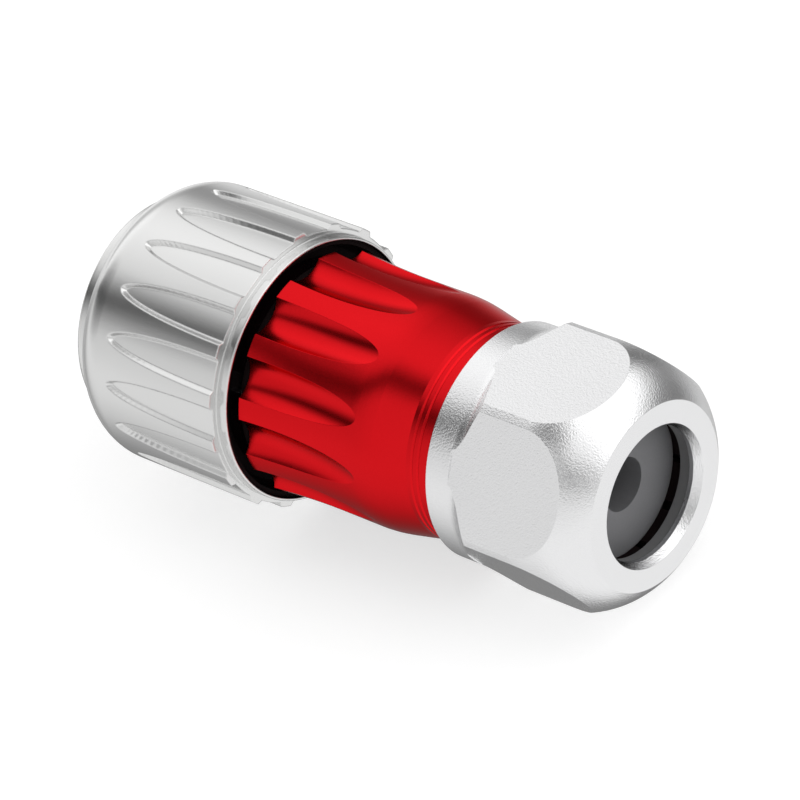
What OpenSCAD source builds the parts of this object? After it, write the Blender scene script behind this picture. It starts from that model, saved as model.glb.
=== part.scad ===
// Push-pull circular cable connector.
// X runs along the connector from the mating mouth (x = 0) to the cable gland, +Z is up, and
// the connector lies on its side. Profiles are drawn as [station along X, radius] and turned.

/* [Mating bore] */
// Diameter of the bore that takes the panel socket's barrel
bore_d = 23.2; // [21:0.1:28]
// Depth of the bore, from the mouth to the face seal's seat
bore_l = 13.5; // [12.5:0.1:16]
// Length of the plain land at the mouth
land_l = 4.8; // [3:0.1:5]
// Width of the run-out groove behind the land
runout_w = 0.6; // [0.4:0.1:1.5]
// Depth of the run-out groove
runout_depth = 0.3; // [0.1:0.05:0.5]
// Width of the main keyway in the bore
keyway_w = 3.0; // [2:0.1:4]
// Depth of the main keyway
keyway_depth = 0.7; // [0.4:0.05:0.8]

/* [Plug shell] */
// Wall of the barrel around the mating bore
barrel_wall = 1.4; // [1.3:0.05:2.2]
// Length of the nose flange that shows ahead of the sleeve
nose_l = 2.0; // [1:0.1:3]
// Height of the nose flange above the barrel
nose_rise = 1.2; // [0.8:0.1:1.5]
// Rounding of the nose flange's front edge
nose_round = 0.6; // [0.2:0.1:0.9]
// Step from the barrel down to the rear thread
thread_step = 0.9; // [0.6:0.05:1.2]
// Wall of the threaded tail
tail_wall = 1.05; // [0.9:0.05:1.5]
// Length of the threaded tail inside the backshell
tail_l = 8.4; // [6:0.1:9]
// Thickness of the inner lip that the insert seats against
lip_t = 1.5; // [1:0.1:2]
// Length of the barrel left behind the retaining ring
shoulder_l = 2.5; // [1.5:0.1:3]

/* [Coupling sleeve] */
// Length of the sliding sleeve
sleeve_l = 23.65; // [22:0.05:30]
// Wall of the sleeve around the spring chamber
sleeve_wall = 1.55; // [1.3:0.05:2.5]
// Radial room for the spring between the barrel and the sleeve
spring_room = 2.6; // [2.3:0.05:3.2]
// Length of the inner lip at the sleeve's front
sleeve_lip_l = 2.95; // [2:0.05:3.5]
// Radial height of the sleeve's flat front face
front_face_h = 1.95; // [1:0.05:2.2]
// Length of the rounded front shoulder
shoulder_run = 4.0; // [3:0.05:6]
// Wall of the thin rear rim round the spring chamber
rim_wall = 0.35; // [0.3:0.05:0.8]
// Length of the rear rim band
rim_l = 1.45; // [1:0.05:2]
// Chamfer of the rear rim along X
rim_chamfer = 0.1; // [0.05:0.05:0.2]
// Travel of the sleeve from locked to released
sleeve_travel = 3.5; // [2.5:0.1:3.6]

/* [Petals] */
// Number of recessed petals round the sleeve
petal_count = 18; // [12:1:20]
// Length of a petal from its tip to its widest point
petal_l = 17.0; // [12:0.5:18]
// Width of a petal at its widest point
petal_w = 4.7; // [2.5:0.1:4.9]
// Depth of a petal below the lands
petal_depth = 0.55; // [0.2:0.05:0.7]
// Lean of a petal's wall, sideways for each unit of depth
petal_lean = 1.0; // [0.2:0.1:1.1]
// Turn of the petals about the axis
petal_turn = 3.7; // [0:0.1:20]
// Distance from the widest point of a petal to the sleeve's rear face
petal_back = 1.1; // [0.8:0.1:2]

/* [Locking balls] */
// Diameter of a locking ball
ball_d = 2.5; // [2:0.1:2.6]
// Number of locking balls
ball_count = 6; // [6]
// How far a locked ball stands into the bore
ball_bite = 0.75; // [0.5:0.05:0.8]
// Distance from the front of the cam ring to the ball centres
ball_inset = 4.9; // [4.8:0.05:5.2]
// Clearance between a ball and its cone
ball_gap = 0.1; // [0.05:0.01:0.2]
// Length of the cam ring
cam_l = 7.4; // [7:0.1:8]

/* [Return spring] */
// Length of the spring when the sleeve is locked
spring_l = 9.1; // [8.6:0.1:12]
// Diameter of the spring wire
wire_d = 1.2; // [0.8:0.05:1.3]
// Number of turns
spring_turns = 4; // [4:1:5]
// Thickness of the washer behind the spring
seat_t = 0.8; // [0.5:0.1:1.2]
// Thickness of the retaining ring
ring_t = 0.8; // [0.5:0.1:1.2]
// Depth of the retaining ring's groove
ring_groove = 0.6; // [0.4:0.05:0.8]
// Radial width of the retaining ring
ring_w = 1.75; // [1.2:0.05:1.8]

/* [Insert and contacts] */
// Radial room that the socket's barrel takes round the insert
barrel_room = 1.9; // [1.6:0.05:2.2]
// Distance of the insert's face behind the mouth
face_inset = 5.2; // [5.1:0.1:7]
// Thickness of the insert's flange
flange_t = 3.0; // [2.2:0.1:4]
// Thickness of the rear insert
rear_insert_t = 6.0; // [4:0.1:8]
// Number of contacts
contact_count = 4; // [4]
// Distance of the contacts from the axis
contact_ring_r = 5.2; // [4.6:0.1:5.6]
// Diameter of a contact's body
contact_d = 4.0; // [3.4:0.1:4.2]
// Diameter of the mating pin's hole
pin_d = 2.5; // [1.6:0.1:2.6]
// Length of the terminal behind the rear insert
terminal_l = 7.0; // [5.5:0.1:7.5]
// Thickness of the threaded ring that clamps the inserts
clamp_ring_t = 2.5; // [1.5:0.1:3]

/* [Backshell] */
// Wall of the backshell around the front thread
body_wall = 2.5; // [2.3:0.05:4]
// Length of the backshell from its front face to the gland nut
body_l = 27.4; // [24:0.1:40]
// Drop from the front edge to the waist
waist_drop = 0.5; // [0.2:0.05:0.8]
// Distance of the waist from the front face
waist_x = 10.0; // [8:0.1:12]
// Distance from the front face to the corner where the rear cone starts
body_corner_x = 17.7; // [17:0.1:19]
// Radius that rounds that corner
body_corner_r = 18; // [8:1:20]
// Length of the straight neck ahead of the gland nut
neck_l = 3.5; // [3:0.1:5]
// Height of the neck above the gland thread
neck_rise = 0.85; // [0.6:0.05:1.5]
// Number of flutes
flute_count = 12; // [8:1:12]
// Radius of the round cutter that makes a flute
flute_r = 3.4; // [2.5:0.1:4]
// Radius of the arc that the flute's floor follows
flute_sweep = 55; // [45:1:70]
// Depth of the deepest floor below the front edge
flute_depth = 1.6; // [0.8:0.05:1.8]
// Distance of the deepest floor from the front face
flute_x = 6.0; // [4:0.1:8]
// Turn of the flutes about the axis
flute_turn = 5.6; // [0:0.1:30]
// Spacing of the two fine grooves on the neck
groove_pitch = 0.9; // [0.6:0.05:1.2]
// Depth of the fine grooves
groove_depth = 0.2; // [0.1:0.05:0.3]

/* [Gland] */
// Diameter of the gland thread
gland_thread_d = 24.2; // [22:0.1:30]
// Length of the gland thread
gland_thread_l = 8.1; // [6:0.1:10]
// Length of the gland nut
nut_l = 21.6; // [20:0.1:28]
// Wall of the nut under its flats
nut_wall = 1.65; // [1:0.05:2.5]
// Height of the nut's turned corners above its flats
nut_corner = 1.85; // [1.2:0.05:2]
// Height of the front collar above the flats
collar_rise = 0.15; // [0.05:0.05:0.6]
// Length of the collar to the start of the flats
collar_l = 3.4; // [2:0.1:5]
// Radius that blends the collar into the corners
collar_fillet = 3.0; // [1:0.1:4]
// Angle of the corners' front chamfer to the axis
corner_slope = 42; // [30:1:50]
// Length of the domed end
dome_l = 8.6; // [6:0.1:9]
// Radius of the dome's profile
dome_r = 10.4; // [9.5:0.1:14]
// Diameter of the cable hole in the nut
hole_d = 15.92; // [12:0.02:16]
// Radial width of the hole's chamfer
hole_chamfer = 0.51; // [0.3:0.01:0.8]
// Depth of the hole's chamfer
hole_chamfer_l = 1.05; // [0.5:0.05:1.1]
// Thickness of the nut's end wall
end_wall = 1.6; // [1.5:0.1:2.5]
// Thread pitch of the gland nut
gland_pitch = 1.5; // [1:0.25:2]
// Bore of the rubber seal
cable_d = 6.4; // [5:0.1:9]
// Outer diameter of the rubber seal
seal_d = 17.6; // [16:0.1:18]
// Length of the rubber seal
seal_l = 14.0; // [10:0.1:15]
// Distance of the seal's face behind the slip washer
seal_inset = 1.6; // [0.5:0.1:3]
// Thickness of the slip washer
slip_t = 1.35; // [0.8:0.05:2]
// Number of clamping fingers
finger_count = 10; // [6:1:12]
// Width of the slot between two fingers
finger_slot = 1.0; // [0.6:0.1:1.5]

/* [Clearances] */
// Radial clearance of sliding and screwed fits
slide_gap = 0.1; // [0.05:0.01:0.1]
// Radial clearance of seated pieces
seat_gap = 0.05; // [0.02:0.01:0.1]
// Gap between faces that only stop against each other
stop_gap = 0.05; // [0.02:0.01:0.1]
// Clearance between the sleeve's bush and the backshell
bush_gap = 0.3; // [0.2:0.05:0.5]

/* [Hidden] */
$fn = 96;
over = 1;                                   // how far cutters run past what they cut

// radii of the mating end, from the bore outwards
bore_r = bore_d / 2;
barrel_r = bore_r + barrel_wall;
nose_r = barrel_r + nose_rise;
chamber_r = barrel_r + spring_room;
sleeve_r = chamber_r + sleeve_wall;
petal_floor_r = sleeve_r - petal_depth;
rim_r = chamber_r + rim_wall;
guide_r = barrel_r + slide_gap;             // sleeve lip and cam ring slide on the barrel
cam_outer_r = chamber_r - 0.3;
tower_r = bore_r - barrel_room;
tail_r = barrel_r - thread_step;
tail_bore_r = tail_r - tail_wall;
insert_r = tail_bore_r - seat_gap;
body_thread_r = tail_r + seat_gap;
body_r = body_thread_r + body_wall;

// stations along X, from the mouth to the gland
sleeve_x0 = nose_l + stop_gap;
sleeve_x1 = sleeve_x0 + sleeve_l;
cam_x0 = sleeve_x0 + sleeve_lip_l;
cam_x1 = cam_x0 + cam_l;
ball_x = cam_x0 + ball_inset;
seat_x0 = cam_x1 + spring_l;
ring_x0 = seat_x0 + seat_t;
ring_x1 = ring_x0 + ring_t;
barrel_x1 = ring_x1 + shoulder_l;
gasket_t = 0.9;
body_x0 = barrel_x1 + gasket_t;
body_x1 = body_x0 + body_l;
tail_x1 = barrel_x1 + tail_l;
insert_x1 = bore_l + lip_t + flange_t;
rear_insert_x1 = insert_x1 + rear_insert_t;
clamp_ring_x1 = rear_insert_x1 + clamp_ring_t;
terminal_x1 = rear_insert_x1 + terminal_l;

// locking balls and their cam cone
ball_r = ball_d / 2;
ball_centre_r = bore_r - ball_bite + ball_r;
cam_slope = ball_bite / sleeve_travel;      // outward travel of a ball per sleeve travel
cam_angle = atan(cam_slope);
cam_ball_r = ball_centre_r + (ball_r + ball_gap) / cos(cam_angle);
cam_run = (cam_ball_r - guide_r) / cam_slope;   // from the ball to the end of the cone
// a window is a cone that the ball sits in, and too small at the bore for it to fall through
window_slope = 0.4;
window_angle = atan(window_slope);
window_r = (ball_r + 0.02) / cos(window_angle) - (ball_centre_r - bore_r) * window_slope;

// gland
gland_r = gland_thread_d / 2;
neck_r = gland_r + neck_rise;
nut_x0 = body_x1 + slide_gap;
nut_x1 = nut_x0 + nut_l;
nut_bore_r = gland_r + slide_gap;
flat_r = nut_bore_r + nut_wall;
corner_r = flat_r + nut_corner;
collar_r = flat_r + collar_rise;
hole_r = hole_d / 2;
stub_x1 = body_x1 + gland_thread_l;
slip_x1 = nut_x1 - end_wall - stop_gap;
slip_x0 = slip_x1 - slip_t;
seal_r = seal_d / 2;
seal_x1 = slip_x0 - seal_inset;
seal_x0 = seal_x1 - seal_l;
cage_r = seal_r + seat_gap;                 // inside of the clamping cage
cage_wall = 0.65;
cage_flange_t = 1.2;
stub_bore_r = cage_r + cage_wall + slide_gap;
finger_x0 = stub_x1 + cage_flange_t;
finger_x1 = slip_x0 - stop_gap;
finger_tip_r = cage_r + 0.5;
finger_root_r = finger_tip_r + 1.55;
finger_gap = 0.3;                           // open cone between the fingers and the nut

// ---------- helpers ----------

// turns a profile drawn as [station, radius] about the connector's axis
module turned() {
    rotate([0, 90, 0]) rotate_extrude() mirror([1, -1, 0]) children();
}

// places a child drawn along +Z so that it stands out radially at angle a from the top
module radial(a) {
    rotate([-a, 0, 0]) children();
}

// repeats a child n times round the axis, the first at angle a
module ring_of(n, a) {
    for (i = [0 : n - 1]) radial(a + i * 360 / n) children();
}

// rectangle in the profile plane, from station x0 to x1 and radius r0 to r1
module band(x0, x1, r0, r1) {
    translate([x0, r0]) square([x1 - x0, r1 - r0]);
}

// round bar along X at height z above the axis
module bar(x0, x1, r, z = 0) {
    translate([x0, 0, z]) rotate([0, 90, 0]) cylinder(h = x1 - x0, r = r);
}

// block that stands out radially, centred on the plane of angle 0
module key_block(x0, x1, r0, r1, w) {
    translate([x0, -w / 2, r0]) cube([x1 - x0, w, r1 - r0]);
}

// ---------- plug shell ----------

key_turns = [60, 180, 300];                 // sleeve keys, between the ball windows
minor_keyways = [120, 240];
window_turn = 30;
minor_keyway_w = 1.6;
minor_keyway_depth = 0.4;
sleeve_key_w = 2.2;
sleeve_key_h = 0.5;
key_groove_r = barrel_r - sleeve_key_h;
insert_key_w = 2.0;                         // key that stops the insert turning in the shell
insert_key_h = 0.4;

module plug_shell_profile() {
    relief_w = 1;                           // run-out at the root of the rear thread
    relief_depth = 0.4;
    difference() {
        union() {
            // nose flange with a rounded front edge
            band(nose_round, nose_l, 0, nose_r);
            band(0, nose_l, 0, nose_r - nose_round);
            translate([nose_round, nose_r - nose_round]) circle(nose_round, $fn = 32);
            band(0, barrel_x1, 0, barrel_r);
            band(0, tail_x1, 0, tail_r);
        }
        band(-over, bore_l, -over, bore_r);
        band(land_l, land_l + runout_w, 0, bore_r + runout_depth);
        band(-over, tail_x1 + over, -over, tower_r + slide_gap);
        band(bore_l + lip_t, tail_x1 + over, -over, tail_bore_r);
        // groove for the retaining ring
        band(ring_x0 - stop_gap, ring_x1 + stop_gap, barrel_r - ring_groove, barrel_r + over);
        band(barrel_x1, barrel_x1 + relief_w, tail_r - relief_depth, tail_r + over);
    }
}

module ball_window() {
    low = bore_r - over;
    high = barrel_r + over;
    translate([ball_x, 0, low])
        cylinder(h = high - low, r1 = window_r - over * window_slope,
                 r2 = window_r + (high - bore_r) * window_slope, $fn = 48);
}

module plug_shell() {
    color([0.72, 0.72, 0.70])
    difference() {
        turned() plug_shell_profile();
        ring_of(ball_count, window_turn) ball_window();
        key_block(-over, bore_l, bore_r - over, bore_r + keyway_depth, keyway_w);
        for (a = minor_keyways)
            radial(a) key_block(-over, bore_l, bore_r - over, bore_r + minor_keyway_depth,
                                minor_keyway_w);
        for (a = key_turns)
            radial(a) key_block(nose_l, barrel_x1 + over, key_groove_r, barrel_r + over,
                                sleeve_key_w + 2 * slide_gap);
        // slot for the insert's key, open at the rear
        key_block(bore_l + lip_t, tail_x1 + over, tail_bore_r - over,
                  tail_bore_r + insert_key_h + slide_gap, insert_key_w + 2 * slide_gap);
    }
}

module interface_seal() {
    seal_t = 0.85;
    color([0.10, 0.10, 0.11])
    turned() band(bore_l - seal_t, bore_l, tower_r + slide_gap, bore_r - slide_gap);
}

// ---------- inserts and contacts ----------

contact_r = contact_d / 2;
contact_turn = 45;
face_wall = 1.1;                            // insert's web over the fronts of the contacts
contact_x0 = face_inset + face_wall;
collar_t = 1.4;                             // contact's own flange, trapped between the inserts
contact_collar_r = contact_r + 0.45;
cup_wall = 0.75;                            // wall of the wire cup behind a contact
screw_x = terminal_x1 - 2.6;
screw_r = 0.8;

module contact_insert() {
    groove_w = 2.4;                         // polarising groove along the tower
    groove_floor_r = tower_r - 0.8;
    gate_r = 1.2;                           // moulding gate recess in the face
    gate_depth = 0.6;
    color([0.07, 0.07, 0.08])
    difference() {
        turned() union() {
            band(face_inset, insert_x1, 0, tower_r);
            band(bore_l + lip_t, insert_x1, 0, insert_r);
        }
        // entry holes for the pins, then the contacts' cavities
        ring_of(contact_count, contact_turn) {
            bar(face_inset - over, contact_x0 + over, pin_d / 2 + slide_gap, contact_ring_r);
            bar(contact_x0 - stop_gap, insert_x1 + over, contact_r + seat_gap, contact_ring_r);
            bar(insert_x1 - collar_t, insert_x1 + over, contact_collar_r + seat_gap,
                contact_ring_r);
        }
        key_block(face_inset - over, bore_l - 1, groove_floor_r, tower_r + over, groove_w);
        bar(face_inset - over, face_inset + gate_depth, gate_r);
    }
    color([0.07, 0.07, 0.08])
    key_block(bore_l + lip_t, insert_x1, insert_r - 0.3, tail_bore_r + insert_key_h,
              insert_key_w);
}

module rear_insert() {
    recess_r = 1.5;                         // blind recess between the contacts
    recess_depth = 3;
    color([0.62, 0.62, 0.60])
    difference() {
        turned() band(insert_x1, rear_insert_x1, 0, insert_r);
        ring_of(contact_count, contact_turn)
            bar(insert_x1 - over, rear_insert_x1 + over, contact_r + seat_gap, contact_ring_r);
        bar(rear_insert_x1 - recess_depth, rear_insert_x1 + over, recess_r);
    }
}

// one socket contact: slotted barrel, flange and wire cup with its screw hole
module contact() {
    pin_depth = 8;                          // depth that the mating pin reaches
    slot_w = 0.35;
    slot_l = 6;
    cup_l = 5;
    color([0.85, 0.68, 0.32])
    difference() {
        union() {
            bar(contact_x0, terminal_x1, contact_r, contact_ring_r);
            bar(insert_x1 - collar_t + stop_gap, insert_x1, contact_collar_r, contact_ring_r);
        }
        bar(contact_x0 - over, contact_x0 + pin_depth, pin_d / 2, contact_ring_r);
        bar(terminal_x1 - cup_l, terminal_x1 + over, contact_r - cup_wall, contact_ring_r);
        translate([contact_x0 - over, -contact_r - over, contact_ring_r - slot_w / 2])
            cube([slot_l + over, 2 * (contact_r + over), slot_w]);
        translate([screw_x, 0, contact_ring_r])
            cylinder(h = contact_r + over, r = screw_r + 0.02, $fn = 32);
    }
}

module contact_at(i) {
    radial(contact_turn + (i - 1) * 360 / contact_count) contact();
}

module contact_1() { contact_at(1); }
module contact_2() { contact_at(2); }
module contact_3() { contact_at(3); }
module contact_4() { contact_at(4); }

// small slotted screws that clamp the wires in their cups
module terminal_screws() {
    foot = contact_ring_r + 0.9;
    screw_l = 1.7;
    slot_w = 0.3;
    slot_depth = 0.5;
    color([0.70, 0.70, 0.68])
    ring_of(contact_count, contact_turn)
        difference() {
            translate([screw_x, 0, foot]) cylinder(h = screw_l, r = screw_r, $fn = 32);
            translate([screw_x - over, -slot_w / 2, foot + screw_l - slot_depth])
                cube([2 * over, slot_w, over]);
        }
}

module clamp_ring() {
    inner_r = tail_bore_r - 2.4;
    slot_w = 2;                             // slots for the spanner
    slot_depth = 1;
    color([0.78, 0.66, 0.36])
    difference() {
        turned() band(rear_insert_x1, clamp_ring_x1, inner_r, tail_bore_r - seat_gap);
        for (a = [90, 270])
            radial(a) key_block(clamp_ring_x1 - slot_depth, clamp_ring_x1 + over,
                                inner_r - over, tail_bore_r, slot_w);
    }
}

// ---------- coupling sleeve ----------

petal_x1 = sleeve_x1 - petal_back;          // where a petal is widest
petal_steps = 20;

// outline of a petal at height h: half an ellipse that is widest at the rear, then straight on
function petal_ring(h) = let (
    grow = (h - sleeve_r) * petal_lean,
    half_w = petal_w / 2 + grow,
    length = petal_l + grow,
    side = [for (i = [1 : petal_steps])
        let (a = 90 * i / petal_steps) [petal_x1 - length * cos(a), half_w * sin(a), h]],
    back = [sleeve_x1 + over, half_w, h]
) concat(
    [[petal_x1 - length, 0, h]], side, [back], [[back.x, -back.y, h]],
    [for (i = [petal_steps - 1 : -1 : 0]) [side[i].x, -side[i].y, h]]
);

// one recess: leaning walls between a low and a high outline, down to a round floor
module petal() {
    low = petal_ring(petal_floor_r - 0.4);
    high = petal_ring(sleeve_r + 0.5);
    n = len(low);
    difference() {
        polyhedron(
            points = concat(low, high),
            faces = concat(
                [[for (i = [n - 1 : -1 : 0]) i], [for (i = [0 : n - 1]) n + i]],
                [for (i = [0 : n - 1]) [(i + 1) % n, n + (i + 1) % n, n + i, i]]
            )
        );
        bar(0, sleeve_x1 + 2 * over, petal_floor_r);
    }
}

module sleeve_profile() {
    arc_drop = sleeve_r - guide_r - front_face_h;
    arc_r = (pow(shoulder_run, 2) + pow(arc_drop, 2)) / (2 * arc_drop);
    arc_x = sleeve_x0 + shoulder_run;
    difference() {
        intersection() {
            union() {
                band(sleeve_x0, sleeve_x1 - rim_l, 0, sleeve_r);
                band(sleeve_x0, sleeve_x1, 0, rim_r);
            }
            union() {
                translate([arc_x, sleeve_r - arc_r]) circle(arc_r, $fn = 160);
                band(arc_x, sleeve_x1, 0, sleeve_r);
                band(sleeve_x0, arc_x, 0, sleeve_r - arc_r);
            }
            polygon([
                [0, 0], [0, sleeve_r], [sleeve_x1 - rim_chamfer, sleeve_r],
                [sleeve_x1 - rim_chamfer, rim_r], [sleeve_x1, rim_r - rim_chamfer],
                [sleeve_x1, 0]
            ]);
        }
        band(0, sleeve_x1 + over, -over, guide_r);
        band(cam_x0, cam_x1, 0, cam_outer_r + seat_gap);
        band(cam_x1, sleeve_x1 + over, 0, chamber_r);
    }
}

module coupling_sleeve() {
    color([0.74, 0.74, 0.72])
    difference() {
        turned() sleeve_profile();
        ring_of(petal_count, petal_turn) petal();
    }
    // keys that ride in the grooves of the barrel
    color([0.74, 0.74, 0.72])
    for (a = key_turns)
        radial(a) key_block(sleeve_x0, cam_x0, key_groove_r + slide_gap, guide_r + 0.3,
                            sleeve_key_w);
}

// hardened ring whose cone holds the balls in and lets them out as the sleeve is pulled
module cam_ring() {
    color([0.55, 0.55, 0.56])
    turned() difference() {
        band(cam_x0, cam_x1, guide_r, cam_outer_r);
        polygon([
            [cam_x0 - over, 0],
            [cam_x0 - over, cam_ball_r + (ball_inset + over) * cam_slope],
            [ball_x + cam_run, guide_r],
            [ball_x + cam_run, 0]
        ]);
    }
}

// plain bush pressed into the sleeve's rear, just inside its rim
module sleeve_bush() {
    bush_inset = 0.5;
    press_gap = 0.02;
    color([0.05, 0.05, 0.06])
    turned() band(ring_x1 - stop_gap, sleeve_x1 - bush_inset, body_r + bush_gap,
                  chamber_r - press_gap);
}

module lock_ball(i) {
    color([0.80, 0.80, 0.80])
    radial(window_turn + (i - 1) * 360 / ball_count)
        translate([ball_x, 0, ball_centre_r]) sphere(ball_r, $fn = 48);
}

module lock_ball_1() { lock_ball(1); }
module lock_ball_2() { lock_ball(2); }
module lock_ball_3() { lock_ball(3); }
module lock_ball_4() { lock_ball(4); }
module lock_ball_5() { lock_ball(5); }
module lock_ball_6() { lock_ball(6); }

// ---------- return spring ----------

wire_r = wire_d / 2;
coil_r = barrel_r + spring_room / 2;
coil_x0 = cam_x1 + stop_gap + wire_r;
coil_x1 = seat_x0 - stop_gap - wire_r;
closed_pitch = wire_d + 0.05;               // end turns lie against their neighbours
open_pitch = (coil_x1 - coil_x0 - 2 * closed_pitch) / (spring_turns - 2);
coil_steps = 24;                            // rings of points to a turn
wire_sides = 10;

// station of the wire's centre after t turns
function coil_x(t) =
    t < 1 ? coil_x0 + t * closed_pitch :
    t > spring_turns - 1 ? coil_x1 - (spring_turns - t) * closed_pitch :
    coil_x0 + closed_pitch + (t - 1) * open_pitch;

// a point on the wire's skin: t turns along it and b round its section
function coil_point(t, b) = let (r = coil_r + wire_r * cos(b), a = 360 * t)
    [coil_x(t) + wire_r * sin(b), r * sin(a), r * cos(a)];

module return_spring() {
    rings = spring_turns * coil_steps;
    last = rings * wire_sides;
    points = [
        for (i = [0 : rings])
            for (j = [0 : wire_sides - 1])
                coil_point(i / coil_steps, 360 * j / wire_sides)
    ];
    skin = [
        for (i = [0 : rings - 1])
            for (j = [0 : wire_sides - 1])
                let (k = (j + 1) % wire_sides, p = i * wire_sides, q = p + wire_sides)
                    [p + j, q + j, q + k, p + k]
    ];
    ends = [
        [for (j = [0 : wire_sides - 1]) j],
        [for (j = [wire_sides - 1 : -1 : 0]) last + j]
    ];
    color([0.60, 0.60, 0.62])
    polyhedron(points = points, faces = concat(skin, ends), convexity = 8);
}

module spring_seat() {
    rim_gap = 0.4;                          // clears the sleeve that slides over it
    color([0.66, 0.66, 0.66])
    turned() band(seat_x0, ring_x0, barrel_r + seat_gap, chamber_r - rim_gap);
}

module retaining_ring() {
    ring_in_r = barrel_r - ring_groove + seat_gap;
    gap_w = 5;                              // opening that lets the ring spring over the barrel
    color([0.35, 0.35, 0.37])
    difference() {
        turned() band(ring_x0, ring_x1, ring_in_r, ring_in_r + ring_w);
        radial(180) key_block(ring_x0 - over, ring_x1 + over, 0, nose_r + over, gap_w);
    }
}

// ---------- backshell ----------

module shell_gasket() {
    gasket_r = barrel_r + 0.3;
    color([0.05, 0.05, 0.06])
    turned() band(barrel_x1, body_x0, tail_r + seat_gap, gasket_r);
}

// outline of the backshell: a shallow waist, then a rounded corner and a cone to the neck
waist_r = body_r - waist_drop;
corner_x = body_x0 + body_corner_x;
cone_end_x = body_x1 - neck_l;
cone_slope = (waist_r - neck_r) / (cone_end_x - corner_x);

module body_outline() {
    waist_end_x = body_x0 + waist_x;
    waist_sweep = pow(waist_x, 2) / (2 * waist_drop);
    cone = atan(cone_slope);
    side = sign(cone);                      // the cone widens if the gland outgrows the body
    reach = body_corner_r * tan(abs(cone) / 2);
    arc_x = corner_x - reach;
    arc_end_x = corner_x + reach * cos(cone);
    arc_end_r = waist_r - reach * sin(cone);
    corner = side > 0 ? [[corner_x, waist_r]] : [[arc_x, waist_r], [arc_end_x, arc_end_r]];
    difference() {
        polygon(concat(
            [[body_x0, 0], [body_x0, body_r], [waist_end_x, body_r], [waist_end_x, waist_r]],
            corner,
            [[cone_end_x, neck_r], [body_x1, neck_r], [body_x1, gland_r],
             [stub_x1, gland_r], [stub_x1, 0]]
        ));
        // the waist's arc is tangent where it ends, so the barrel runs straight on
        translate([waist_end_x, waist_r + waist_sweep]) circle(waist_sweep, $fn = 720);
        if (side > 0) difference() {
            band(arc_x, arc_end_x, arc_end_r, waist_r + over);
            corner_round(arc_x, waist_r - body_corner_r);
        }
        if (side < 0) corner_round(arc_x, waist_r + body_corner_r);
    }
}

// the circle that is tangent to the barrel and to the cone
module corner_round(x, r) {
    translate([x, r]) circle(body_corner_r, $fn = 240);
}

// V-groove round the neck at station x
module v_groove(x) {
    half = groove_depth;
    polygon([[x - half - over, neck_r + over], [x, neck_r - groove_depth],
             [x + half + over, neck_r + over]]);
}

flute_floor_r = body_r - flute_depth;
flute_half = 18;                            // half of the sector that a flute's cutter spans

// one flute: a round cutter swept along a long arc, deepest behind the front edge
module flute() {
    translate([body_x0 + flute_x, 0, flute_floor_r + flute_sweep])
        rotate([90, 0, 0])
            rotate([0, 0, -90 - flute_half])
                rotate_extrude(angle = 2 * flute_half, $fn = 240)
                    translate([flute_sweep - flute_r, 0]) circle(flute_r, $fn = 64);
}

module backshell() {
    cavity_r = body_thread_r - 0.9;
    thread_room = 0.5;                      // free thread beyond the plug shell's tail
    least_wall = 1.2;
    room = waist_r - cavity_r - least_wall;
    thin_x = cone_slope > 0 ? corner_x + room / cone_slope : body_x1;
    cone_x0 = min(body_x1 - 4, thin_x);     // cone that leads the wires into the gland
    cone_x1 = body_x1 - 1;
    first_groove = 1.8;                     // from the gland nut to the first fine groove
    color([0.80, 0.05, 0.06])
    difference() {
        turned() difference() {
            body_outline();
            band(body_x0 - over, tail_x1 + thread_room, -over, body_thread_r);
            band(tail_x1, cone_x0, -over, cavity_r);
            polygon([[cone_x0, -over], [cone_x0, cavity_r],
                     [cone_x1, stub_bore_r], [cone_x1, -over]]);
            band(cone_x1 - over, stub_x1 + over, -over, stub_bore_r);
            v_groove(body_x1 - first_groove);
            v_groove(body_x1 - first_groove - groove_pitch);
        }
        ring_of(flute_count, flute_turn) flute();
    }
}

// ---------- cable gland ----------

module clamp_cage() {
    cage_x0 = stub_x1 - 6;
    flange_r = gland_r - 0.5;
    finger_root = 1.3;                      // solid stretch ahead of the slots
    color([0.06, 0.06, 0.07])
    difference() {
        turned() polygon([
            [cage_x0, cage_r], [cage_x0, cage_r + cage_wall], [stub_x1, cage_r + cage_wall],
            [stub_x1, flange_r], [finger_x0, flange_r], [finger_x0, finger_root_r],
            [finger_x1, finger_tip_r], [finger_x1, cage_r]
        ]);
        ring_of(finger_count, 0)
            key_block(finger_x0 + finger_root, finger_x1 + over, cage_r - over, gland_r,
                      finger_slot);
    }
}

module cable_seal() {
    rib_pitch = 3;                          // shallow rings let the rubber squeeze evenly
    rib_r = 0.7;
    rib_lift = 0.3;
    color([0.30, 0.30, 0.31])
    turned() difference() {
        band(seal_x0, seal_x1, cable_d / 2, seal_r);
        for (x = [seal_x0 + rib_pitch : rib_pitch : seal_x1 - rib_pitch])
            translate([x, seal_r + rib_lift]) circle(rib_r, $fn = 24);
    }
}

module slip_washer() {
    inset = 0.15;                           // stands back from the edge of the cable hole
    color([0.42, 0.42, 0.43])
    turned() band(slip_x0, slip_x1, hole_r + inset, finger_tip_r + finger_gap - slide_gap);
}

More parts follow.
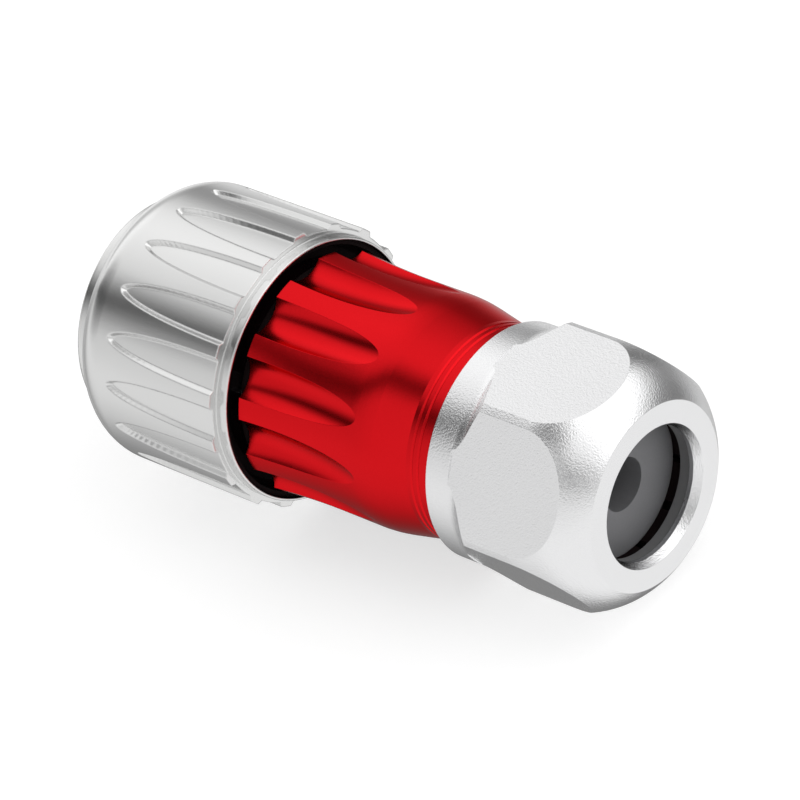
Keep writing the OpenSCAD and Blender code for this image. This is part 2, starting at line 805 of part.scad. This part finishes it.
// outside of the nut as turned: collar, fillet, chamfered corners, barrel and dome
module nut_outline() {
    edge = 0.25;                            // break of the collar's front edge
    fillet_x = nut_x0 + collar_l;
    fillet_end_x = fillet_x + collar_fillet * sin(corner_slope);
    fillet_end_r = collar_r + collar_fillet * (1 - cos(corner_slope));
    chamfer_x = fillet_end_x + (corner_r - fillet_end_r) / tan(corner_slope);
    dome_x = nut_x1 - dome_l;
    intersection() {
        difference() {
            polygon([
                [nut_x0, 0], [nut_x0, collar_r - edge], [nut_x0 + edge, collar_r],
                [fillet_x, collar_r], [fillet_end_x, fillet_end_r],
                [chamfer_x, corner_r], [nut_x1, corner_r], [nut_x1, 0]
            ]);
            translate([fillet_x, collar_r + collar_fillet])
                circle(collar_fillet, $fn = 96);
        }
        union() {
            band(nut_x0, dome_x, 0, corner_r);
            translate([dome_x, corner_r - dome_r]) circle(dome_r, $fn = 160);
            band(nut_x0, nut_x1, 0, corner_r - dome_r);
        }
    }
}

module nut_cavity() {
    root = finger_root_r + finger_gap;
    tip = finger_tip_r + finger_gap;
    land_x = nut_x1 - hole_chamfer_l;
    step_x = finger_x0 + finger_gap;        // clears the cage's flange
    polygon([
        [nut_x0 - over, -over], [nut_x0 - over, nut_bore_r],
        [step_x, nut_bore_r], [step_x, root],
        [slip_x0 - stop_gap, tip], [nut_x1 - end_wall, tip], [nut_x1 - end_wall, hole_r],
        [land_x, hole_r], [nut_x1, hole_r + hole_chamfer],
        [nut_x1 + over, hole_r + hole_chamfer], [nut_x1 + over, -over]
    ]);
}

module gland_nut() {
    color([0.80, 0.80, 0.80])
    difference() {
        turned() difference() {
            nut_outline();
            nut_cavity();
        }
        // six flats, milled from the domed end up to the collar
        ring_of(6, 0)
            key_block(nut_x0 + collar_l, nut_x1 + over, flat_r, corner_r + over, 2 * corner_r);
    }
}

plug_shell();
interface_seal();
contact_insert();
rear_insert();
contact_1();
contact_2();
contact_3();
contact_4();
terminal_screws();
clamp_ring();
coupling_sleeve();
cam_ring();
sleeve_bush();
lock_ball_1();
lock_ball_2();
lock_ball_3();
lock_ball_4();
lock_ball_5();
lock_ball_6();
return_spring();
spring_seat();
retaining_ring();
shell_gasket();
backshell();
clamp_cage();
cable_seal();
slip_washer();
gland_nut();
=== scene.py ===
# Push-pull circular connector: camera, finishes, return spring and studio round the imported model.
# Lengths are in metres.
import math

import bpy
from mathutils import Matrix, Vector


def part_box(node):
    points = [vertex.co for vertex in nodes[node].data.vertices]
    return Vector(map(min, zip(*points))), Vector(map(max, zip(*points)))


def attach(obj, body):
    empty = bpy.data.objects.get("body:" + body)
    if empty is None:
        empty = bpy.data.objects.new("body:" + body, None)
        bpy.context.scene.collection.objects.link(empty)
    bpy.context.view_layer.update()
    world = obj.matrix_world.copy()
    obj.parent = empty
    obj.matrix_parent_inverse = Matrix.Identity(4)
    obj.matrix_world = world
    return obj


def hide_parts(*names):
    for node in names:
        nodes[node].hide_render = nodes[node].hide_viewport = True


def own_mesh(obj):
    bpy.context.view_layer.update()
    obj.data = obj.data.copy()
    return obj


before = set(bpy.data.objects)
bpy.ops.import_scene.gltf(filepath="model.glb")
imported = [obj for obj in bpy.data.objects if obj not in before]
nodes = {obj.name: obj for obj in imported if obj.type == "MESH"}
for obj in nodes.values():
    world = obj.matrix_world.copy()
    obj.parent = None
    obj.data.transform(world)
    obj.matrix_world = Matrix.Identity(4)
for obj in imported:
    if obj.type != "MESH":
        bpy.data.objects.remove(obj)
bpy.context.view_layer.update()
bpy.ops.object.select_all(action="DESELECT")
print("frame loaded:", len(nodes), "nodes")


# camera

cameraValues = {
    "target": (0.0381, 0.0, 0.0),
    "distance": 0.572,
    "azimuth": 40.0,  # degrees from the connector's axis towards -Y
    "elevation": 38.6,
    "roll": -15.9,
    "focal": 225.0,  # on a 36 mm sensor
    "clipStart": 0.01,
}


def makeCamera(values):
    bpy.ops.object.camera_add()
    camera = bpy.context.active_object
    camera.name = "studioCamera"
    azimuth = math.radians(values["azimuth"])
    elevation = math.radians(values["elevation"])
    away = Vector((math.cos(elevation) * math.cos(azimuth), -math.cos(elevation) * math.sin(azimuth),
                   math.sin(elevation)))
    turn = away.to_track_quat("Z", "Y").to_matrix()
    turn = turn @ Matrix.Rotation(math.radians(values["roll"]), 3, "Z")
    place = Matrix.Translation(Vector(values["target"]) + away * values["distance"])
    camera.matrix_world = place @ turn.to_4x4()
    camera.data.lens = values["focal"]
    camera.data.clip_start = values["clipStart"]
    bpy.context.scene.camera = camera


makeCamera(cameraValues)
print("camera done")


# shader helpers

class Flow:
    # a socket that takes part in Python sums; each step of a sum adds a Math node
    def __init__(self, tree, socket):
        self.tree = tree
        self.socket = socket

    def math(self, operation, *others):
        return self.tree.add("ShaderNodeMath", {"operation": operation}, [self, *others])

    def __add__(self, other):
        return self.math("ADD", other)

    def __radd__(self, other):
        return self.math("ADD", other)

    def __sub__(self, other):
        return self.math("SUBTRACT", other)

    def __rsub__(self, other):
        return self.tree.add("ShaderNodeMath", {"operation": "SUBTRACT"}, [other, self])

    def __mul__(self, other):
        return self.math("MULTIPLY", other)

    def __rmul__(self, other):
        return self.math("MULTIPLY", other)

    def __truediv__(self, other):
        return self.math("DIVIDE", other)

    def __rtruediv__(self, other):
        return self.tree.add("ShaderNodeMath", {"operation": "DIVIDE"}, [other, self])

    def __abs__(self):
        return self.math("ABSOLUTE")

    def between(self, low, high):
        return self.math("MAXIMUM", low).math("MINIMUM", high)

    # climbs from 0 at start to 1 at start + run, so a negative run gives 1 first and 0 from start on
    def ramp(self, start, run):
        return self.tree.clamp((self - start) / run)


class Tree:
    # the node tree of one material or world
    def __init__(self, tree):
        self.tree = tree
        tree.nodes.clear()

    def add(self, kind, settings=None, inputs=None, out=0):
        node = self.tree.nodes.new(kind)
        for name, value in (settings or {}).items():
            if name == "stops":
                ramp = node.color_ramp
                while len(ramp.elements) < len(value):
                    ramp.elements.new(1.0)
                for element, (place, level) in zip(ramp.elements, value):
                    element.position = place
                    element.color = (level, level, level, 1.0)
            else:
                setattr(node, name, value)
        pairs = inputs.items() if isinstance(inputs, dict) else enumerate(inputs or [])
        for name, value in pairs:
            self.join(node.inputs[name], value)
        return Flow(self, node.outputs[out]) if node.outputs else None

    def split(self, vector):
        parts = self.add("ShaderNodeSeparateXYZ", {}, [vector])
        return [Flow(self, output) for output in parts.socket.node.outputs]

    def clamp(self, value):
        return self.add("ShaderNodeClamp", {}, [value])

    def mix(self, factor, first, second):
        return self.add("ShaderNodeMix", {"data_type": "RGBA"}, {0: factor, 6: first, 7: second}, out=2)

    # brightness by the angle round the connector's axis
    def ring(self, lights, turn):
        stops = [(angle / 360.0 + 0.5, level) for angle, level in lights.items()]
        return self.add("ShaderNodeValToRGB", {"stops": stops}, [turn / 360.0 + 0.5])

    def join(self, target, value):
        if isinstance(value, Flow):
            self.tree.links.new(value.socket, target)
        elif isinstance(value, tuple) and len(value) == 3 and target.type == "RGBA":
            target.default_value = (*value, 1.0)
        else:
            target.default_value = value


def newMaterial(name):
    material = bpy.data.materials.new(name)
    material.use_nodes = True
    return material, Tree(material.node_tree)


def axisRadius(across, up):
    return (across * across + up * up).math("SQRT")


# painted shade: 1 on the surfaces deep in the gap under the sleeve, where shade falls, 0 elsewhere
def gapShadeMask(tree, place, band):
    along, across, up = tree.split(place)
    radius = axisRadius(across, up)
    mask = along.ramp(band["start"], band["startRun"]) * radius.ramp(band["inner"], band["edgeRun"])
    return mask * radius.ramp(band["outer"], -band["edgeRun"])


# the screw thread's ridges, which the model leaves to the finish
def threadBump(tree, place, thread, normal):
    along, across, up = tree.split(place)
    run = thread["edgeRun"]
    cut = along.ramp(thread["start"], run) * along.ramp(thread["end"], -run)
    cut = cut * axisRadius(across, up).ramp(thread["inner"], run)
    turns = along / thread["pitch"] + across.math("ARCTAN2", up) / math.tau + thread["wholeTurns"]
    ridge = abs(turns.math("FRACT") - 0.5)
    return tree.add("ShaderNodeBump", {}, {"Strength": 1.0, "Distance": thread["depth"] * 2.0,
                                           "Height": ridge * cut, "Normal": normal})


finishBasics = {"specular": 0.5, "rimTint": (1.0, 1.0, 1.0), "blotchDetail": 3.0, "grainDetail": 2.0,
                "edgeSamples": 6}


# a finish: even values on the shader, then grain, blotches and rounded edges as they vary over the piece
def makeFinish(name, ownValues):
    values = {**finishBasics, **ownValues}
    material, tree = newMaterial(name)
    place = tree.add("ShaderNodeTexCoord", out="Object")
    blotch = tree.add("ShaderNodeTexNoise", {}, {"Vector": place, "Scale": values["blotchScale"],
                                                 "Detail": values["blotchDetail"]})
    grain = tree.add("ShaderNodeTexNoise", {}, {"Vector": place, "Scale": values["grainScale"],
                                                "Detail": values["grainDetail"]})
    roughness = values["roughness"] + (blotch - 0.5) * values["blotchRough"]
    roughness = roughness + (grain - 0.5) * values["grainRough"]
    colour = tree.mix(grain * values["grainShade"] + blotch * values["blotchShade"], values["colour"],
                      values["shade"])
    normal = tree.add("ShaderNodeBevel", {"samples": values["edgeSamples"]}, {"Radius": values["edge"]})
    if "thread" in values:
        normal = threadBump(tree, place, values["thread"], normal)
    normal = tree.add("ShaderNodeBump", {}, {"Strength": values["grainStrength"],
                                             "Distance": values["grainDepth"],
                                             "Height": grain, "Normal": normal})
    shader = tree.add("ShaderNodeBsdfPrincipled", {}, {
        "Base Color": colour, "Roughness": roughness, "Metallic": values["metallic"],
        "Specular IOR Level": values["specular"], "Specular Tint": values["rimTint"], "Normal": normal})
    # painted shade: a near-black tone over the surfaces deep in the gap under the sleeve
    if "gapShadeBand" in values:
        shadeTone = tree.add("ShaderNodeBsdfDiffuse", {}, {"Color": values["gapShadeColour"]})
        band = gapShadeMask(tree, place, values["gapShadeBand"])
        shader = tree.add("ShaderNodeMixShader", {}, [band, shader, shadeTone])
    if "bounce" in values:  # a plain tone for the light that the piece throws on the floor
        plain = tree.add("ShaderNodeBsdfDiffuse", {}, {"Color": values["bounce"]})
        thrown = tree.add("ShaderNodeLightPath", out="Is Diffuse Ray")
        shader = tree.add("ShaderNodeMixShader", {}, [thrown, shader, plain])
    tree.add("ShaderNodeOutputMaterial", {}, {"Surface": shader})
    return material


def finishNodes(names, material):
    for name in names:
        piece = nodes[name]
        piece.data.materials.clear()
        piece.data.materials.append(material)


# finishes: each colour and its darker shade, then blotches, grain and the radius of rounded edges

nickelValues = {
    "colour": (0.72, 0.72, 0.715), "shade": (0.64, 0.64, 0.64), "metallic": 1.0, "roughness": 0.20,
    "blotchScale": 90.0, "blotchRough": 0.04, "blotchShade": 0.25,
    "grainScale": 2600.0, "grainRough": 0.04, "grainShade": 0.15,
    "grainStrength": 0.06, "grainDepth": 0.00003,
    "edge": 0.00028, "gapShadeColour": (0.004, 0.001, 0.0015),
    # where the painted shade in the gap under the sleeve starts along the axis, and its radii
    "gapShadeBand": {"start": 0.009, "startRun": 0.00025, "inner": 0.0129, "outer": 0.01575, "edgeRun": 0.000125},
}
blastedValues = {
    "colour": (0.83, 0.83, 0.835), "shade": (0.66, 0.66, 0.67), "metallic": 1.0, "roughness": 0.20,
    "blotchScale": 120.0, "blotchRough": 0.04, "blotchShade": 0.15,
    "grainScale": 4800.0, "grainRough": 0.14, "grainShade": 0.22,
    "grainStrength": 0.75, "grainDepth": 0.00005,
    "edge": 0.0001,
}
redValues = {
    "colour": (0.69, 0.010, 0.015), "shade": (0.56, 0.004, 0.006), "metallic": 1.0, "roughness": 0.22,
    "blotchScale": 100.0, "blotchRough": 0.04, "blotchShade": 0.3,
    "grainScale": 4200.0, "grainRough": 0.08, "grainShade": 0.25,
    "grainStrength": 0.10, "grainDepth": 0.00003,
    "edge": 0.00008, "rimTint": (0.75, 0.55, 0.55), "bounce": (0.25, 0.22, 0.22),
    "thread": {"start": 0.05405, "end": 0.062, "inner": 0.0113, "edgeRun": 1 / 9000, "pitch": 0.0015,
               "depth": 0.00025, "wholeTurns": 9.0},  # whole turns only keep the count above zero
}
steelValues = {
    "colour": (0.56, 0.56, 0.57), "shade": (0.42, 0.42, 0.43), "metallic": 1.0, "roughness": 0.32,
    "blotchScale": 300.0, "blotchRough": 0.1, "blotchShade": 0.4,
    "grainScale": 4000.0, "grainRough": 0.1, "grainShade": 0.3, "grainStrength": 0.1, "grainDepth": 0.00002,
    "edge": 0.0001,
}
# near black for the parts inside the sleeve's rear gap: partly their own black, partly painted shade that
# darkens the gap
blackAndPaintedShadeValues = {
    "colour": (0.004, 0.001, 0.0015), "shade": (0.007, 0.003, 0.003), "metallic": 0.0, "roughness": 0.8,
    "specular": 0.12, "blotchScale": 300.0, "blotchRough": 0.1, "blotchShade": 0.4,
    "grainScale": 4000.0, "grainRough": 0.1, "grainShade": 0.3, "grainStrength": 0.2, "grainDepth": 0.00002,
    "edge": 0.0001,
}
ballValues = {
    "colour": (0.78, 0.78, 0.79), "shade": (0.70, 0.70, 0.71), "metallic": 1.0, "roughness": 0.08,
    "blotchScale": 600.0, "blotchRough": 0.04, "blotchShade": 0.3,
    "grainScale": 5000.0, "grainRough": 0.02, "grainShade": 0.1, "grainStrength": 0.02, "grainDepth": 0.00001,
    "edge": 0.00005,
}
goldValues = {
    "colour": (0.86, 0.62, 0.24), "shade": (0.74, 0.50, 0.18), "metallic": 1.0, "roughness": 0.22,
    "blotchScale": 400.0, "blotchRough": 0.06, "blotchShade": 0.4,
    "grainScale": 5000.0, "grainRough": 0.05, "grainShade": 0.2, "grainStrength": 0.06, "grainDepth": 0.00001,
    "edge": 0.00008,
}
brassValues = {
    "colour": (0.72, 0.52, 0.22), "shade": (0.56, 0.38, 0.15), "metallic": 1.0, "roughness": 0.30,
    "blotchScale": 300.0, "blotchRough": 0.08, "blotchShade": 0.5,
    "grainScale": 4000.0, "grainRough": 0.08, "grainShade": 0.3, "grainStrength": 0.1, "grainDepth": 0.00002,
    "edge": 0.0001,
}
blackPlasticValues = {
    "colour": (0.010, 0.009, 0.010), "shade": (0.018, 0.016, 0.018), "metallic": 0.0, "roughness": 0.66,
    "blotchScale": 200.0, "blotchRough": 0.1, "blotchShade": 0.3,
    "grainScale": 5000.0, "grainRough": 0.12, "grainShade": 0.4, "grainStrength": 0.2, "grainDepth": 0.00003,
    "edge": 0.0001,
}
greyPlasticValues = {
    "colour": (0.150, 0.150, 0.152), "shade": (0.120, 0.120, 0.122), "metallic": 0.0, "roughness": 0.48,
    "blotchScale": 250.0, "blotchRough": 0.1, "blotchShade": 0.4,
    "grainScale": 5000.0, "grainRough": 0.1, "grainShade": 0.3, "grainStrength": 0.15, "grainDepth": 0.00002,
    "edge": 0.00008,
}
blackRubberValues = {
    "colour": (0.016, 0.016, 0.016), "shade": (0.030, 0.030, 0.030), "metallic": 0.0, "roughness": 0.7,
    "blotchScale": 200.0, "blotchRough": 0.1, "blotchShade": 0.4,
    "grainScale": 3500.0, "grainRough": 0.1, "grainShade": 0.4, "grainStrength": 0.25, "grainDepth": 0.00003,
    "edge": 0.0001,
}
greyRubberValues = {
    "colour": (0.200, 0.200, 0.208), "shade": (0.160, 0.160, 0.166), "metallic": 0.0, "roughness": 0.58,
    "blotchScale": 260.0, "blotchRough": 0.1, "blotchShade": 0.5,
    "grainScale": 3800.0, "grainRough": 0.1, "grainShade": 0.4, "grainStrength": 0.2, "grainDepth": 0.00003,
    "edge": 0.00012,
}

finishNodes(["plug_shell", "coupling_sleeve"], makeFinish("satinNickel", nickelValues))
finishNodes(["gland_nut"], makeFinish("blastedNickel", blastedValues))
finishNodes(["backshell"], makeFinish("redAnodised", redValues))
plainSteel = makeFinish("plainSteel", steelValues)
finishNodes(["cam_ring", "terminal_screws", "return_spring"], plainSteel)
# the parts deep in the sleeve's rear gap get near black: their own dark colour and painted shade
blackAndPaintedShade = makeFinish("blackAndPaintedShade", blackAndPaintedShadeValues)
finishNodes(["spring_seat", "retaining_ring"], blackAndPaintedShade)
finishNodes(["lock_ball_%d" % i for i in range(1, 7)], makeFinish("ballSteel", ballValues))
finishNodes(["contact_%d" % i for i in range(1, 5)], makeFinish("contactGold", goldValues))
finishNodes(["clamp_ring"], makeFinish("turnedBrass", brassValues))
finishNodes(["contact_insert"], makeFinish("blackPlastic", blackPlasticValues))
finishNodes(["sleeve_bush", "clamp_cage"], blackAndPaintedShade)
finishNodes(["rear_insert", "slip_washer"], makeFinish("greyPlastic", greyPlasticValues))
finishNodes(["interface_seal"], makeFinish("blackRubber", blackRubberValues))
finishNodes(["shell_gasket"], blackAndPaintedShade)
finishNodes(["cable_seal"], makeFinish("greyRubber", greyRubberValues))
print("finishes done")


# return spring

springValues = {
    "wire": 0.0012,
    "turns": 4,
    "closedGap": 0.00005,  # between the closed end turns
    "wireSides": 16,
    "stepsPerTurn": 64,
    "mergeWithin": 0.00001,
    "smoothAngle": 40.0,
    "anchor": 0.0215,  # the face of its seat, which it flattens towards
    "keep": 0.615,  # share of its length left when the sleeve is pulled back
}


def coilStretch(values, start, radius, turns, pitch):
    bpy.ops.mesh.primitive_circle_add(vertices=values["wireSides"], radius=values["wire"] / 2,
                                      location=(start, 0.0, 0.0), rotation=(math.pi / 2, 0.0, 0.0))
    coil = bpy.context.active_object
    bpy.ops.object.transform_apply(location=False, rotation=True, scale=False)
    bpy.ops.object.mode_set(mode="EDIT")
    bpy.ops.mesh.select_all(action="SELECT")
    bpy.ops.transform.translate(value=(0.0, 0.0, radius))
    bpy.ops.object.mode_set(mode="OBJECT")
    wind = coil.modifiers.new("wind", "SCREW")
    wind.axis = "X"
    wind.angle = -math.tau * turns
    wind.screw_offset = pitch * turns
    wind.steps = values["stepsPerTurn"] * turns
    wind.render_steps = values["stepsPerTurn"] * turns
    bpy.ops.object.modifier_apply(modifier="wind")
    bpy.ops.object.transform_apply(location=True, rotation=False, scale=False)
    return coil


def makeSpring(values):
    low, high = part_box("return_spring")
    wireRadius = values["wire"] / 2
    radius = high.z - wireRadius
    first, last = low.x + wireRadius, high.x - wireRadius
    closed = values["wire"] + values["closedGap"]
    openPitch = (last - first - 2 * closed) / (values["turns"] - 2)
    # a closed turn at each end and the open turns between them, wound from one section
    stretches = [coilStretch(values, first, radius, 1, closed),
                 coilStretch(values, first + closed, radius, values["turns"] - 2, openPitch),
                 coilStretch(values, last - closed, radius, 1, closed)]
    bpy.ops.object.select_all(action="DESELECT")
    for stretch in stretches:
        stretch.select_set(True)
    bpy.context.view_layer.objects.active = stretches[0]
    bpy.ops.object.join()
    spring = bpy.context.active_object
    spring.name = "springCoil"
    bpy.ops.object.mode_set(mode="EDIT")
    bpy.ops.mesh.select_all(action="SELECT")
    bpy.ops.mesh.remove_doubles(threshold=values["mergeWithin"])
    bpy.ops.mesh.fill_holes(sides=0)
    bpy.ops.mesh.select_all(action="SELECT")
    bpy.ops.mesh.normals_make_consistent(inside=False)
    bpy.ops.object.mode_set(mode="OBJECT")
    bpy.ops.object.origin_set(type="ORIGIN_CURSOR")
    bpy.ops.object.shade_smooth_by_angle(angle=math.radians(values["smoothAngle"]))
    spring.data.materials.append(plainSteel)
    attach(spring, "plug")
    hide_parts("return_spring")
    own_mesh(spring)
    bpy.ops.object.select_all(action="DESELECT")


makeSpring(springValues)
print("spring done")


# studio light: two rings of brightness round the connector's axis, one along it and one at the nut's
# end, with a dark gap between the ceiling panels; -1 along the axis is ahead of the nose, 1 behind the nut

skyValues = {
    # brightness by angle: 0 straight up, 90 towards +Y, 180 straight down
    "lights": {-180: 0.34, -165: 0.48, -145: 0.76, -125: 0.94, -105: 0.96, -85: 0.84, -60: 0.80, -40: 0.82,
               -20: 0.94, 0: 1.08, 20: 1.20, 40: 1.10, 55: 0.84, 70: 0.38, 86: 0.34, 100: 0.66, 116: 0.86,
               132: 0.62, 150: 0.22, 180: 0.34},
    "endLights": {-180: 1.04, -110: 1.04, -85: 0.92, -60: 0.84, -35: 0.96, -14: 1.10, 5: 1.50, 50: 1.50,
                  66: 1.10, 76: 0.34, 98: 0.18, 112: 0.50, 130: 1.00, 180: 1.04},
    "end": {"from": -0.1, "run": 0.25},  # where the second ring takes over
    # the dark gap: its angle, how it leans towards the nose and bends towards the nut, and its width
    "gap": {"turn": -22.0, "lean": 72.0, "leanFrom": -0.26, "bend": 83.0, "bendFrom": 0.15, "reach": 0.35,
            "width": 14.0, "spread": 75.0, "spreadFrom": -0.52, "core": 1.15, "dark": 0.90,
            "fade": 0.25, "fadeFrom": 0.1, "fadeRun": 0.3},
    "cone": {"at": -0.2, "reach": 0.3},  # the stretch that the red cone mirrors
    "side": {"from": 0.0, "rise": 50.0, "to": 130.0, "fall": 30.0, "dark": 0.60},  # far side over the cone
    "near": {"from": -110.0, "rise": 30.0, "to": -20.0, "fall": 20.0, "glow": 0.20},  # near side over it
    "front": {"from": -0.66, "run": 0.12, "turn": 20.0, "rise": 20.0, "glow": 0.25},  # ahead of the nose
}


# 1 between two angles, with soft ends
def arc(turn, span):
    return turn.ramp(span["from"], span["rise"]) * turn.ramp(span["to"], -span["fall"])


def darkGap(tree, along, turn, gap):
    middle = (along - gap["leanFrom"]).between(-gap["reach"], 0.0) * gap["lean"] + gap["turn"]
    middle = middle - (along - gap["bendFrom"]).between(0.0, gap["reach"]) * gap["bend"]
    width = (gap["spreadFrom"] - along).math("MAXIMUM", 0.0) * gap["spread"] + gap["width"]
    mask = tree.clamp(gap["core"] - abs(turn - middle) / width)
    return mask * (1.0 - along.ramp(gap["fadeFrom"], gap["fadeRun"]) * gap["fade"]) * gap["dark"]


def makeWorld(values):
    world = bpy.data.worlds.new("studioWorld")
    bpy.context.scene.world = world
    world.use_nodes = True
    tree = Tree(world.node_tree)
    along, across, up = tree.split(tree.add("ShaderNodeTexCoord", out="Generated"))
    turn = across.math("ARCTAN2", up) * (180.0 / math.pi)
    cone = tree.clamp(1.0 - abs(along - values["cone"]["at"]) / values["cone"]["reach"])
    side = cone * arc(turn, values["side"]) * values["side"]["dark"]
    near = cone * arc(turn, values["near"]) * values["near"]["glow"]
    front = along.ramp(values["front"]["from"], -values["front"]["run"])
    front = front * turn.ramp(values["front"]["turn"], values["front"]["rise"]) * values["front"]["glow"]
    atEnd = along.ramp(values["end"]["from"], values["end"]["run"])
    level = tree.ring(values["lights"], turn) * (1.0 - side) * (1.0 - atEnd)
    level = level + tree.ring(values["endLights"], turn) * atEnd + near
    level = level * (1.0 - darkGap(tree, along, turn, values["gap"])) + front
    light = tree.add("ShaderNodeBackground", {}, {"Color": (1.0, 1.0, 1.0), "Strength": level})
    white = tree.add("ShaderNodeBackground", {}, {"Color": (1.0, 1.0, 1.0), "Strength": 1.0})
    seen = tree.add("ShaderNodeLightPath", out="Is Camera Ray")
    both = tree.add("ShaderNodeMixShader", {}, [seen, light, white])
    tree.add("ShaderNodeOutputWorld", {}, {"Surface": both})


makeWorld(skyValues)
print("studio light done")


# floor

floorValues = {
    "size": 3.0,
    "colour": (0.95, 0.95, 0.95),
    "speckScale": 40.0,
    "speckRough": 0.1,
    "cameraWhite": 0.47,  # share of the camera's floor that is lit evenly, so that only a faint shadow shows
    "cameraGain": 1.32,
    "sleeveEdge": 0.00145,  # from the sleeve's rear end to the edge that it lies on
    "nutEdge": 0.0032,  # from the nut's rear end to the edge of its lower flat
    "nutRise": 0.00015,  # the lower flat stands this much above the collar's lowest line
    "gap": 0.00005,  # from the floor to the sleeve
}


def makeFloor(values):
    # the plane that the sleeve's rear edge and the nut's lower flat both touch
    sleeveLow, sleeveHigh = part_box("coupling_sleeve")
    nutLow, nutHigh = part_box("gland_nut")
    sleeveTouch = Vector((sleeveHigh.x - values["sleeveEdge"], 0.0, sleeveLow.z))
    nutTouch = Vector((nutHigh.x - values["nutEdge"], 0.0, nutLow.z + values["nutRise"]))
    run = nutTouch - sleeveTouch
    tilt = math.atan2(run.z, run.x)
    bpy.ops.mesh.primitive_plane_add(size=values["size"], rotation=(0.0, -tilt, 0.0),
                                     location=sleeveTouch - Vector((0.0, 0.0, values["gap"])))
    floor = bpy.context.active_object
    floor.name = "floor"
    material, tree = newMaterial("paleFloor")
    place = tree.add("ShaderNodeTexCoord", out="Object")
    speck = tree.add("ShaderNodeTexNoise", {}, {"Vector": place, "Scale": values["speckScale"]})
    plain = tree.add("ShaderNodeBsdfDiffuse", {}, {"Color": values["colour"],
                                                   "Roughness": speck * values["speckRough"]})
    white = tree.add("ShaderNodeEmission", {}, {"Color": (1.0, 1.0, 1.0), "Strength": values["cameraGain"]})
    through = tree.add("ShaderNodeBsdfTransparent")
    seen = tree.add("ShaderNodeLightPath", out="Is Camera Ray")
    glossy = tree.add("ShaderNodeLightPath", out="Is Glossy Ray")
    both = tree.add("ShaderNodeMixShader", {}, [seen * values["cameraWhite"], plain, white])
    both = tree.add("ShaderNodeMixShader", {}, [glossy, both, through])
    tree.add("ShaderNodeOutputMaterial", {}, {"Surface": both})
    floor.data.materials.append(material)


makeFloor(floorValues)
bpy.context.scene.view_settings.view_transform = "Standard"
print("floor done")
